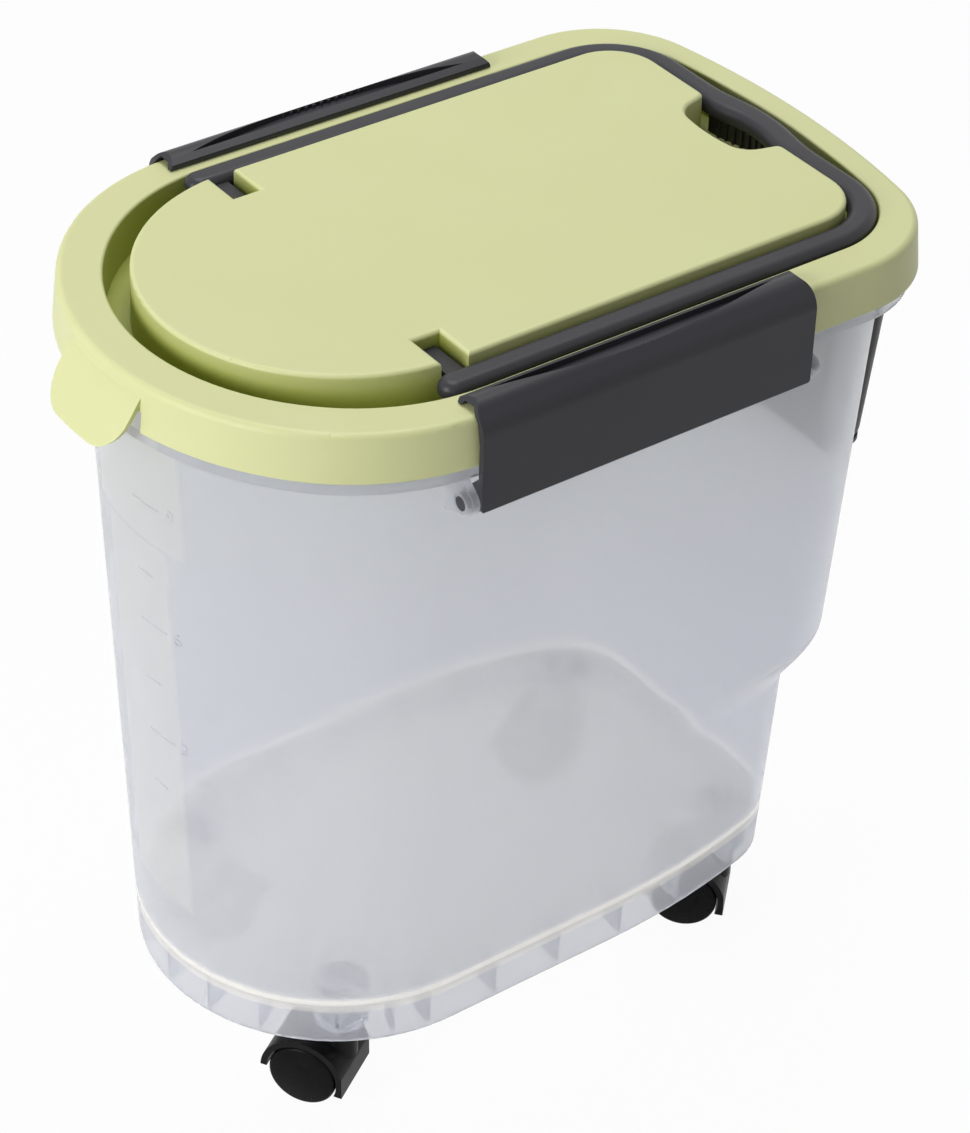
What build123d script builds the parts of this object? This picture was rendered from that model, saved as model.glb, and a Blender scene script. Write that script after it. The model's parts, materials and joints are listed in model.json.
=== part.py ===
from build123d import *
import math
import os

# Rolling storage box for dry pet food: a see-through tub on four casters, a lid with a
# sunk bail handle, two side latches and a measuring scoop hung on the back.
# +Z is up, -X is the round nose, the origin is on the ground under the middle of the box.

os.makedirs("parts", exist_ok=True)

# Clearances, and how far a cut runs past the face that it opens
running_gap = 0.05
swing_gap = 0.6
seat_gap = 0.3
overrun = 1.0

# Tub: plan at its bottom edge, and how it widens upwards
base_level = 52.0
tub_inset = 30.4
tub_tip_x = -174.9
lower_back_x = 152.0
lower_corner = 41.0
bend_x = 25.0
bend_radius = 420.0
upper_back_x = 175.0
upper_corner = 60.0
draft = 2.233
wall = 2.2
floor_rise = 23.7
ledge_rise = 111.5
ledge_height = 32.0
ledge_bands = 6
ledge_lift = 1.3
tub_height = 376.0

# Tub: flange under the lid's skirt
flange_below_rim = 19.0
flange_drop = 6.5
flange_wall = 2.2
flange_gap = 1.2

# Tub: gusset ribs behind the base skirt
rib_thickness = 1.6
rib_depth = 13.0
rib_lift = 2.0
nose_rib_angles = (0.0, 17.0, 34.0, 56.0, 72.0)
side_rib_start = -85.7
side_rib_pitch = 39.5
side_rib_count = 6

# Lid: plan of the skirt at its lower edge
lid_tip_x = -201.0
lid_half_width = 132.0
lid_nose_blunting = 12.4
lid_cheek_y = 20.0
lid_back_x = 201.0
lid_corner = 59.0
lid_back_radius = 455.0
lid_lean = 2.4
skirt_below_rim = 17.1
ring_above_rim = 6.5
ring_edge_radius = 3.6
skirt_wall = 2.5
ring_thickness = 2.6

# Lid: sunk channel inside the ring, at its top edge
channel_tip_x = -178.3
ring_width = 21.3
channel_nose_blunting = 5.7
channel_cheek_y = 10.7
channel_back_x = 184.0
channel_corner = 46.0
channel_back_radius = 430.0
channel_below_rim = 15.5
channel_lean = 0.6
channel_edge_radius = 1.5
bowl_wall = 1.6

# Lid: raised platform
platform_above_rim = 12.6
channel_width = 16.6
platform_back_x = 161.0
platform_corner = 26.0
platform_lean = 0.5
platform_edge_radius = 2.2
platform_wall = 2.4

# Lid: finger scallop in the platform's back edge
scallop_half_width = 29.0
scallop_end_half_width = 24.0
scallop_depth = 21.5
scallop_bow = 3.0
scallop_corner = 13.0
scallop_mouth_radius = 4.0

# Lid: pull tongue on the nose
tongue_half_width = 29.0
tongue_slit = 1.2
tongue_reach = 14.0
tongue_drop = 8.5
tongue_root = 17.0
tongue_joint = 6.9
tongue_flare = 4.5
tongue_sag = 0.5
tongue_corner = 15.0
tongue_wall = 2.5

# Lid seal
seal_inside = 0.5
seal_outside = 0.6
seal_rib = 1.4
seal_rib_drop = 5.0

# Bail handle
pivot_ahead = 2.9
pivot_above_rim = 1.5
arm_gap = 1.2
arm_width = 14.0
arm_below_rim = 0.7
arm_height = 10.2
arm_tip = 14.0
arm_round = 4.9
bail_inner_back_x = 162.0
bail_outer_back_x = 176.2
bail_inner_corner = 27.5
bail_outer_corner = 41.5
grip_half_width = 31.0
grip_bulge = 4.4
grip_shoulder = 42.0
grip_below_rim = 11.0
grip_web = 3.2
grip_rib_count = 11
grip_rib_pitch = 4.6
grip_rib_width = 1.6
grip_rib_depth = 1.1
stub_width = 9.0
stub_above_pivot = 4.1
stub_below_pivot = 4.0
trunnion_radius = 3.5
trunnion_length = 6.0
notch_half_width = 7.1
notch_depth = 22.1
notch_below_rim = 5.5
notch_end_wall = 8.0

# Side latches: inwards from their face, and up or down from the top of the lid's ring
latch_centre_x = 2.5
latch_length = 186.0
latch_proud = 3.5
latch_wall = 2.9
latch_hang = 46.9
latch_shoulder_drop = 3.5
latch_plate_drop = 12.5
latch_bend_in = 4.9
latch_bend_drop = 2.1
latch_roof_in = 7.9
latch_crest_in = 9.5
latch_crest_rise = 6.3
latch_ridge_rise = 4.9
latch_crest_radius = 8.0
latch_toe_in = 19.9
latch_toe_thickness = 2.6
latch_roof_gap = 0.5
latch_shoulder_radius = 12.0
latch_end_radius = 7.0
latch_foot_radius = 1.5
latch_hollow = 12.0
trough_in = 16.1
trough_bow = 8.6
trough_length = 158.0
trough_rise = 1.9
tick_count = 11
tick_pitch = 4.4
tick_width = 1.3
tick_depth = 0.8
tick_height = 1.9
hinge_in = 6.5
hinge_rise = 4.4
hinge_pin_radius = 3.5
lug_radius = 6.2
lug_thickness = 6.0

# Hinge ears on the tub
ear_gap = 0.8
ear_thickness = 3.4
ear_radius = 6.4
ear_web = 6.0
boss_step = 2.6
boss_radius = 5.2

# Casters
caster_front_x = -116.8
caster_rear_x = 123.5
caster_inset = 33.4
front_left_yaw = 32.5
front_right_yaw = 283.0
rear_left_yaw = 44.0
rear_right_yaw = 33.3
caster_trail = 14.0
wheel_radius = 18.0
wheel_width = 12.6
wheel_dome = 1.7
wheel_tread_radius = 2.2
wheel_side_gap = 0.4
wheel_bore_depth = 10.6
axle_radius = 2.5
fork_web = 9.2
hood_gap = 0.9
hood_wall = 3.4
hood_half_width = 17.8
hood_front_angle = 2.0
hood_back_angle = 168.0
tail_reach = 22.0
tail_drop = 7.2
tail_width = 2.2
neck_radius = 8.6
neck_drop = 2.0
stem_radius = 4.0
stem_depth = 15.0
stem_rise = 20.0
stem_chamfer = 0.8
collar_radius = 6.5
collar_thickness = 1.4
socket_radius = 14.0

# Measuring scoop and the hook that holds it
scoop_face_x = 215.0
scoop_back_x = 190.4
scoop_half_width = 65.0
scoop_foot_half_width = 54.5
scoop_below_hook = 18.0
scoop_height = 90.0
scoop_wall = 2.0
scoop_corner = 12.0
scoop_foot_radius = 9.0
strap_half_width = 15.0
strap_thickness = 2.8
strap_above_hook = 22.0
strap_corner = 10.0
hook_below_rim = 56.0
hook_thickness = 3.5
hook_half_width = 6.5
hook_tip = 2.6
hook_tip_rise = 6.0
slot_half_width = 8.0
slot_travel = 10.0

# Levels, from the tub's bottom edge upwards
floor_level = base_level + floor_rise
ledge_low = base_level + ledge_rise
ledge_high = ledge_low + ledge_height
rim_level = base_level + tub_height
flange_level = rim_level - flange_below_rim
skirt_level = rim_level - skirt_below_rim
ring_level = rim_level + ring_above_rim
ring_under = ring_level - ring_thickness
channel_level = rim_level - channel_below_rim
platform_level = rim_level + platform_above_rim
pivot_level = rim_level + pivot_above_rim
arm_bottom = rim_level - arm_below_rim
arm_top = arm_bottom + arm_height
grip_bottom = rim_level - grip_below_rim
stub_top = pivot_level + stub_above_pivot
stub_bottom = pivot_level - stub_below_pivot
notch_level = rim_level - notch_below_rim
latch_bottom = ring_level - latch_hang
latch_shoulder = ring_level - latch_shoulder_drop
latch_plate_top = ring_level - latch_plate_drop
latch_bend_level = ring_level - latch_bend_drop
latch_crest = ring_level + latch_crest_rise
latch_ridge = ring_level + latch_ridge_rise
trough_level = ring_level + trough_rise
hinge_level = latch_bottom + hinge_rise
neck_level = base_level - neck_drop
stem_bottom = neck_level - stem_depth
stem_top = neck_level + stem_rise
socket_bottom = neck_level + seat_gap + collar_thickness
hook_level = rim_level - hook_below_rim
strap_top = hook_level + strap_above_hook
scoop_rim = hook_level - scoop_below_hook
scoop_bottom = scoop_rim - scoop_height

# Half widths, from the lid's skirt inwards and outwards
base_half_width = lid_half_width - tub_inset
nose_x = tub_tip_x + base_half_width
lid_nose_length = lid_half_width - lid_nose_blunting
lid_side_radius = lid_half_width - lid_cheek_y
channel_half_width = lid_half_width - ring_width
channel_nose_length = channel_half_width - channel_nose_blunting
channel_side_radius = channel_half_width - channel_cheek_y
platform_half_width = channel_half_width - channel_width
arm_inner_y = platform_half_width + arm_gap
arm_outer_y = arm_inner_y + arm_width
notch_inner_y = platform_half_width - notch_depth
pivot_x = nose_x - pivot_ahead
latch_face_y = lid_half_width + latch_proud
latch_bend_y = latch_face_y - latch_bend_in
latch_roof_y = latch_face_y - latch_roof_in
latch_crest_y = latch_face_y - latch_crest_in
latch_toe_y = latch_face_y - latch_toe_in
trough_inner_y = latch_face_y - trough_in
hinge_y = latch_face_y - hinge_in
caster_side_y = base_half_width - caster_inset

slope = math.tan(math.radians(draft))
lip_inner = flange_gap + skirt_wall
wheel_inner = fork_web / 2 + wheel_side_gap
hood_inner_radius = wheel_radius + hood_gap
hood_outer_radius = hood_inner_radius + hood_wall
pin_end_x = latch_length / 2 + ear_gap + ear_thickness + boss_step
caster_spots = {
    "caster_front_left": (caster_front_x, -caster_side_y),
    "caster_front_right": (caster_front_x, caster_side_y),
    "caster_rear_left": (caster_rear_x, -caster_side_y),
    "caster_rear_right": (caster_rear_x, caster_side_y),
}
caster_yaws = {
    "caster_front_left": front_left_yaw,
    "caster_front_right": front_right_yaw,
    "caster_rear_left": rear_left_yaw,
    "caster_rear_right": rear_right_yaw,
}


def arc(centre, radius, first, last):
    # An arc about centre between two points of it, the short way round
    start = math.degrees(math.atan2(first[1] - centre[1], first[0] - centre[0]))
    end = math.degrees(math.atan2(last[1] - centre[1], last[0] - centre[0]))
    turn = (end - start + 180) % 360 - 180
    CenterArc(centre, radius, start, turn)


def touching(centre, other, radius):
    # Where the line from one centre through the other meets the first one's circle
    run = math.dist(centre, other)
    return tuple(c + (o - c) * radius / run for c, o in zip(centre, other))


def tub_plan(level, share=1.0, grow=0.0):
    # Tub's plan at a height: share 0 is the narrow lower body, share 1 the upper body
    spread = (level - base_level) * slope + grow
    half = base_half_width + spread
    back = lower_back_x + (upper_back_x - lower_back_x) * share + spread
    corner = lower_corner + (upper_corner - lower_corner) * share + grow
    with BuildSketch(Plane.XY.offset(level)) as plan:
        with BuildLine():
            CenterArc((nose_x, 0), half, 180, 90)
            Line((nose_x, -half), (bend_x, -half))
            if share < 1:
                sweep_radius = bend_radius / (1 - share) + grow
                hub = (bend_x, sweep_radius - half)
                run = back - corner - bend_x
                rise = math.sqrt((sweep_radius - corner) ** 2 - run**2)
                knuckle = (back - corner, hub[1] - rise)
                leave = touching(hub, knuckle, sweep_radius)
                arc(hub, sweep_radius, (bend_x, -half), leave)
            else:
                knuckle = (back - corner, corner - half)
                leave = (knuckle[0], -half)
                Line((bend_x, -half), leave)
            arc(knuckle, corner, leave, (back, knuckle[1]))
            Line((back, knuckle[1]), (back, 0))
            mirror(about=Plane.XZ)
        make_face()
    return plan.sketch


def nose_radius(length, half, side):
    # Radius of the nose's middle arc, between two side arcs that it meets without a corner
    return (length**2 + half**2 - 2 * half * side) / (2 * (length - side))


def oval_plan(level, tip, length, half, side, back, corner, back_radius, grow=0.0):
    # Lid's plan: a nose of three arcs, straight sides, round corners and a bowed back
    tip_radius = nose_radius(length, half, side)
    cheek = (tip + length, side - half)
    nose_hub = (tip + tip_radius, 0)
    back_hub = (back - back_radius, 0)
    reach = math.sqrt((back_radius - corner) ** 2 - (half - corner) ** 2)
    knuckle = (back_hub[0] + reach, corner - half)
    join = touching(nose_hub, cheek, tip_radius + grow)
    leave = touching(back_hub, knuckle, back_radius + grow)
    with BuildSketch(Plane.XY.offset(level)) as plan:
        with BuildLine():
            arc(nose_hub, tip_radius + grow, (tip - grow, 0), join)
            arc(cheek, side + grow, join, (cheek[0], -half - grow))
            Line((cheek[0], -half - grow), (knuckle[0], -half - grow))
            arc(knuckle, corner + grow, (knuckle[0], -half - grow), leave)
            arc(back_hub, back_radius + grow, leave, (back + grow, 0))
            mirror(about=Plane.XZ)
        make_face()
    return plan.sketch


def lid_plan(level, grow=0.0):
    return oval_plan(
        level,
        lid_tip_x,
        lid_nose_length,
        lid_half_width,
        lid_side_radius,
        lid_back_x,
        lid_corner,
        lid_back_radius,
        grow,
    )


def channel_plan(level, grow=0.0):
    return oval_plan(
        level,
        channel_tip_x,
        channel_nose_length,
        channel_half_width,
        channel_side_radius,
        channel_back_x,
        channel_corner,
        channel_back_radius,
        grow,
    )


def platform_plan(level, grow=0.0):
    # Platform's plan: its nose is concentric with the tub's
    half = platform_half_width + grow
    back = platform_back_x + grow
    corner = platform_corner + grow
    with BuildSketch(Plane.XY.offset(level)) as plan:
        with BuildLine():
            CenterArc((nose_x, 0), half, 180, 90)
            Line((nose_x, -half), (back - corner, -half))
            CenterArc((back - corner, corner - half), corner, -90, 90)
            Line((back, corner - half), (back, 0))
            mirror(about=Plane.XZ)
        make_face()
    return plan.sketch


def scallop_plan(level, grow=0.0):
    # Finger scallop: a bay that opens into the channel behind the platform
    mouth = platform_back_x + platform_lean
    inner = platform_back_x - scallop_depth - grow
    with BuildSketch(Plane.XY.offset(level)) as plan:
        with BuildLine():
            Polyline(
                (inner + scallop_bow, -scallop_end_half_width - grow),
                (mouth, -scallop_half_width - grow),
                (mouth, scallop_half_width + grow),
                (inner + scallop_bow, scallop_end_half_width + grow),
            )
            ThreePointArc(
                (inner + scallop_bow, scallop_end_half_width + grow),
                (inner, 0),
                (inner + scallop_bow, -scallop_end_half_width - grow),
            )
        make_face()
        bay_end = plan.vertices().filter_by_position(Axis.X, inner, mouth - overrun)
        fillet(bay_end, scallop_corner)
    return plan.sketch


def swell(x, half, bulge):
    # Two arcs that carry a straight edge outwards to the middle of the grip
    middle = (x + bulge / 2, -half / 2)
    TangentArc((x, -half), middle, tangent=(0, 1))
    TangentArc((x + bulge, 0), middle, tangent=(0, -1))


# The outer skin of the tub, as levels and shares from the bottom edge to the rim
def tub_sections(bottom, top, grow, lift):
    low = ledge_low + lift
    step = (ledge_high - ledge_low) / ledge_bands
    lower = [tub_plan(bottom, 0, grow), tub_plan(low, 0, grow)]
    ledge = []
    for band in range(ledge_bands + 1):
        ratio = band / ledge_bands
        share = ratio * ratio * (3 - 2 * ratio)
        ledge.append(tub_plan(low + band * step, share, grow))
    upper = [tub_plan(ledge_high + lift, 1, grow), tub_plan(top, 1, grow)]
    return lower, ledge, upper


# Tub
hollow_bottom = base_level - overrun
with BuildPart() as container:
    lower, ledge, upper = tub_sections(base_level, rim_level, 0, 0)
    loft(lower, ruled=True)
    loft(ledge)
    loft(upper, ruled=True)
    # Flange with a turned-down lip, which the lid's skirt covers
    extrude(lid_plan(flange_level, -lip_inner), amount=-flange_wall)
    lip = lid_plan(flange_level, -lip_inner), lid_plan(flange_level, -lip_inner - flange_wall)
    extrude(lip[0] - lip[1], amount=-flange_drop)
    # Inside of the tub and the hollow under its floor
    lower, ledge, upper = tub_sections(floor_level, rim_level + overrun, -wall, ledge_lift)
    loft(lower, ruled=True, mode=Mode.SUBTRACT)
    loft(ledge, mode=Mode.SUBTRACT)
    loft(upper, ruled=True, mode=Mode.SUBTRACT)
    underside = floor_level - wall
    hollow = tub_plan(hollow_bottom, 0, -wall), tub_plan(underside, 0, -wall)
    loft(hollow, ruled=True, mode=Mode.SUBTRACT)
    # Gusset ribs, inside the skirt, on the nose and along both sides
    rib_height = underside - base_level - rib_lift
    with BuildSketch(Plane.XY.offset(base_level + rib_lift)):
        for angle in nose_rib_angles:
            for side in (-1, 1):
                turn = 180 + side * angle
                with Locations(Location((nose_x, 0), turn)):
                    with Locations((base_half_width - wall / 2 - rib_depth / 2, 0)):
                        Rectangle(rib_depth, rib_thickness)
        for place in range(side_rib_count):
            rib_x = side_rib_start + place * side_rib_pitch
            dip = max(0, rib_x - bend_x) ** 2 / (2 * bend_radius)
            reach = base_half_width - wall / 2 - rib_depth / 2 - dip
            with Locations((rib_x, reach), (rib_x, -reach)):
                Rectangle(rib_thickness, rib_depth)
    extrude(amount=rib_height)
    # Caster sockets, which hang from the floor
    with BuildSketch(Plane.XY.offset(socket_bottom)):
        with Locations(*caster_spots.values()):
            Circle(socket_radius)
    extrude(amount=underside - socket_bottom)
    with BuildSketch(Plane.XY.offset(socket_bottom)):
        with Locations(*caster_spots.values()):
            Circle(stem_radius + running_gap)
    extrude(amount=stem_top + seat_gap - socket_bottom, mode=Mode.SUBTRACT)
    # Hinge ears for the latches: a plate under the flange and a stepped boss, bored through
    ear_wall_y = base_half_width + (hinge_level - base_level) * slope - wall / 2
    ear_foot = hinge_level - ear_radius - ear_web
    for end in (-1, 1):
        ear_x = latch_centre_x + end * (latch_length / 2 + ear_gap)
        for side in (-1, 1):
            with BuildSketch(Plane.YZ.offset(ear_x)):
                with Locations((side * hinge_y, hinge_level)):
                    Circle(ear_radius)
                with BuildLine():
                    Polyline(
                        (side * ear_wall_y, ear_foot),
                        (side * ear_wall_y, flange_level - flange_wall),
                        (side * hinge_y - side * flange_wall, flange_level - flange_drop),
                        close=True,
                    )
                make_face()
                make_hull()
            extrude(amount=end * ear_thickness)
            with BuildSketch(Plane.YZ.offset(ear_x + end * ear_thickness)):
                with Locations((side * hinge_y, hinge_level)):
                    Circle(boss_radius)
            extrude(amount=end * boss_step)
            with BuildSketch(Plane.YZ.offset(ear_x)):
                with Locations((side * hinge_y, hinge_level)):
                    Circle(hinge_pin_radius + running_gap)
            extrude(amount=end * (ear_thickness + boss_step), mode=Mode.SUBTRACT)
    # Hook on the back wall, for the scoop
    hook_root_x = upper_back_x + (hook_level - base_level) * slope - wall / 2
    hook_inner_x = scoop_back_x + strap_thickness + swing_gap
    hook_top = hook_level + hook_thickness
    with BuildSketch(Plane.XZ):
        with BuildLine():
            Polyline(
                (hook_root_x, hook_level),
                (hook_inner_x + hook_tip, hook_level),
                (hook_inner_x + hook_tip, hook_top + hook_tip_rise),
                (hook_inner_x, hook_top + hook_tip_rise),
                (hook_inner_x, hook_top),
                (hook_root_x, hook_top),
                close=True,
            )
        make_face()
    extrude(amount=hook_half_width, both=True)
container.part.label = "container"
export_step(container.part, "parts/container.step")

# Lid: the space under the platform, less the walls of its notches and its scallop
bowl_bottom = channel_level - bowl_wall
platform_under = platform_level - platform_wall
with BuildPart() as platform_hollow:
    low_plan = platform_plan(bowl_bottom - overrun, platform_lean - platform_wall)
    loft((low_plan, platform_plan(platform_under, -platform_wall)), ruled=True)
    extrude(
        scallop_plan(bowl_bottom, platform_wall),
        amount=platform_level - bowl_bottom,
        mode=Mode.SUBTRACT,
    )
    for side in (-1, 1):
        block_inner = notch_inner_y - notch_end_wall
        block_middle = side * (block_inner + platform_half_width) / 2
        with BuildSketch(Plane.XY.offset(notch_level - platform_wall)):
            with Locations((pivot_x, block_middle)):
                Rectangle(
                    2 * (notch_half_width + platform_wall), platform_half_width - block_inner
                )
        extrude(amount=platform_level - notch_level, mode=Mode.SUBTRACT)

# Lid: pull tongue, a flared sheet turned about the nose's centre, with round lower corners
tongue_top = skirt_level + tongue_root
tongue_bottom = skirt_level - tongue_drop
nose_hub_x = lid_tip_x + nose_radius(lid_nose_length, lid_half_width, lid_side_radius)
tongue_root_x = lid_tip_x + lid_lean * tongue_root / (ring_level - skirt_level)
tongue_tip_x = lid_tip_x - tongue_reach
tongue_middle_x = tongue_root_x + (tongue_tip_x - tongue_root_x) * tongue_sag
tongue_middle = (tongue_middle_x, skirt_level + tongue_flare)
with BuildPart() as tongue:
    with BuildSketch(Plane.XZ):
        with BuildLine():
            ThreePointArc((tongue_root_x, tongue_top), tongue_middle, (tongue_tip_x, tongue_bottom))
            Line((tongue_tip_x, tongue_bottom), (tongue_tip_x + tongue_wall, tongue_bottom))
            ThreePointArc(
                (tongue_tip_x + tongue_wall, tongue_bottom),
                (tongue_middle[0] + tongue_wall, tongue_middle[1]),
                (tongue_root_x + tongue_wall, tongue_top),
            )
            Line((tongue_root_x + tongue_wall, tongue_top), (tongue_root_x, tongue_top))
        make_face()
    revolve(axis=Axis((nose_hub_x, 0, 0), (0, 0, 1)), revolution_arc=360)
    tongue_height = tongue_top - tongue_bottom
    with BuildSketch(Plane.YZ.offset(tongue_tip_x)) as tongue_front:
        with Locations((0, tongue_bottom + tongue_height / 2)):
            Rectangle(2 * tongue_half_width, tongue_height)
        fillet(tongue_front.vertices().group_by(Axis.Y)[0], tongue_corner)
    extrude(amount=2 * (tongue_reach + tongue_wall), mode=Mode.INTERSECT)

# Lid
with BuildPart() as lid:
    loft((lid_plan(skirt_level), lid_plan(ring_level, -lid_lean)), ruled=True)
    fillet(lid.faces().sort_by(Axis.Z)[-1].edges(), ring_edge_radius)
    under_low = lid_plan(skirt_level - overrun, -skirt_wall)
    loft((under_low, lid_plan(ring_under, -skirt_wall - lid_lean)), ruled=True, mode=Mode.SUBTRACT)
    # Pull tongue between two slits in the skirt
    with BuildSketch(Plane.XY.offset(skirt_level)):
        with Locations((lid_tip_x, 0)):
            Rectangle(2 * tongue_reach, 2 * (tongue_half_width + tongue_slit))
    extrude(amount=tongue_root - tongue_joint, mode=Mode.SUBTRACT)
    add(tongue.part)
    # Bowl that the channel and the platform stand in
    bowl_low = channel_plan(bowl_bottom, bowl_wall - channel_lean)
    loft((bowl_low, channel_plan(ring_under, bowl_wall)), ruled=True)
    channel_low = channel_plan(channel_level, -channel_lean)
    loft((channel_low, channel_plan(ring_level, 0)), ruled=True, mode=Mode.SUBTRACT)
    fillet(lid.faces().sort_by(Axis.Z)[-1].inner_wires()[0].edges(), channel_edge_radius)
    platform_low = platform_plan(channel_level, platform_lean)
    loft((platform_low, platform_plan(platform_level)), ruled=True)
    # Scallop and pivot notches, open to the channel
    extrude(
        scallop_plan(channel_level), amount=platform_level - channel_level, mode=Mode.SUBTRACT
    )
    mouth_edges = lid.edges().filter_by_position(
        Axis.X, platform_back_x - scallop_mouth_radius / 2, platform_back_x + platform_lean
    )
    fillet(mouth_edges.filter_by(Axis.Z, tolerance=2), scallop_mouth_radius)
    notch_length = platform_half_width + platform_lean - notch_inner_y
    for side in (-1, 1):
        with BuildSketch(Plane.XY.offset(notch_level)):
            with Locations((pivot_x, side * (notch_inner_y + notch_length / 2))):
                Rectangle(2 * notch_half_width, notch_length)
        extrude(amount=platform_level - notch_level, mode=Mode.SUBTRACT)
    fillet(lid.faces().sort_by(Axis.Z)[-1].outer_wire().edges(), platform_edge_radius)
    add(platform_hollow.part, mode=Mode.SUBTRACT)
    for side in (-1, 1):
        with BuildSketch(Plane.XZ.offset(-side * notch_inner_y)):
            with Locations((pivot_x, pivot_level)):
                Circle(trunnion_radius + running_gap)
        extrude(amount=side * (trunnion_length + seat_gap), mode=Mode.SUBTRACT)
    # Rib that locates the seal outside the tub's rim
    rib_inner = seal_outside + running_gap
    rib_outer_plan = tub_plan(ring_under, 1, rib_inner + seal_rib)
    extrude(rib_outer_plan - tub_plan(ring_under, 1, rib_inner), amount=-seal_rib_drop)
lid.part.label = "lid"
export_step(lid.part, "parts/lid.step")

# Seal: a soft ring between the tub's rim and the underside of the lid
with BuildPart() as lid_seal:
    seal_plan = tub_plan(ring_under, 1, seal_outside) - tub_plan(ring_under, 1, -wall - seal_inside)
    extrude(seal_plan, amount=rim_level + seat_gap - ring_under)
lid_seal.part.label = "lid_seal"
export_step(lid_seal.part, "parts/lid_seal.step")

# Bail handle: a rounded bar round the platform, with a ribbed grip and two pivot stubs
arm_half = (arm_outer_y - arm_inner_y) / 2
arm_end_x = pivot_x - arm_tip + arm_half
grip_web_face = bail_inner_back_x + arm_round
with BuildPart() as handle:
    with BuildSketch(Plane.XY.offset(arm_bottom)):
        with BuildLine():
            outer_knuckle = (bail_outer_back_x - bail_outer_corner, bail_outer_corner - arm_outer_y)
            inner_knuckle = (bail_inner_back_x - bail_inner_corner, bail_inner_corner - arm_inner_y)
            swell(bail_outer_back_x, grip_shoulder, grip_bulge)
            Line((bail_outer_back_x, -grip_shoulder), (bail_outer_back_x, outer_knuckle[1]))
            CenterArc(outer_knuckle, bail_outer_corner, 0, -90)
            Line((outer_knuckle[0], -arm_outer_y), (arm_end_x, -arm_outer_y))
            CenterArc((arm_end_x, arm_half - arm_outer_y), arm_half, 270, -180)
            Line((arm_end_x, -arm_inner_y), (inner_knuckle[0], -arm_inner_y))
            CenterArc(inner_knuckle, bail_inner_corner, -90, 90)
            Line((bail_inner_back_x, inner_knuckle[1]), (bail_inner_back_x, -grip_half_width))
            swell(bail_inner_back_x, grip_half_width, grip_bulge)
            mirror(about=Plane.XZ)
        make_face()
    extrude(amount=arm_top - arm_bottom)
    long_edges = handle.edges().group_by(Axis.Z)
    fillet(long_edges[0] + long_edges[-1], arm_round)
    # Web under the grip, ribbed on the side that the fingers pull
    with BuildSketch(Plane.XY.offset(grip_bottom)):
        with BuildLine():
            swell(grip_web_face, grip_half_width, grip_bulge)
            swell(grip_web_face + grip_web, grip_half_width, grip_bulge)
            Line(
                (grip_web_face, -grip_half_width), (grip_web_face + grip_web, -grip_half_width)
            )
            mirror(about=Plane.XZ)
        make_face()
        for place in range(grip_rib_count):
            rib_y = (place - (grip_rib_count - 1) / 2) * grip_rib_pitch
            ratio = 1 - abs(rib_y) / grip_half_width
            rib_x = grip_web_face + grip_bulge * ratio * ratio * (3 - 2 * ratio)
            with Locations((rib_x, rib_y)):
                Rectangle(2 * grip_rib_depth, grip_rib_width)
    extrude(amount=arm_bottom + arm_round - grip_bottom)
    # Stubs and trunnions at the pivot
    stub_inner = notch_inner_y + swing_gap
    for side in (-1, 1):
        stub_length = arm_inner_y + arm_round - stub_inner
        with BuildSketch(Plane.XY.offset(stub_bottom)):
            with Locations((pivot_x, side * (stub_inner + stub_length / 2))):
                Rectangle(stub_width, stub_length)
        extrude(amount=stub_top - stub_bottom)
        with BuildSketch(Plane.XZ.offset(-side * (notch_inner_y - trunnion_length))):
            with Locations((pivot_x, pivot_level)):
                Circle(trunnion_radius)
        extrude(amount=-side * (trunnion_length + 2 * swing_gap))
handle.part.label = "handle"
export_step(handle.part, "parts/handle.step")

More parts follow.
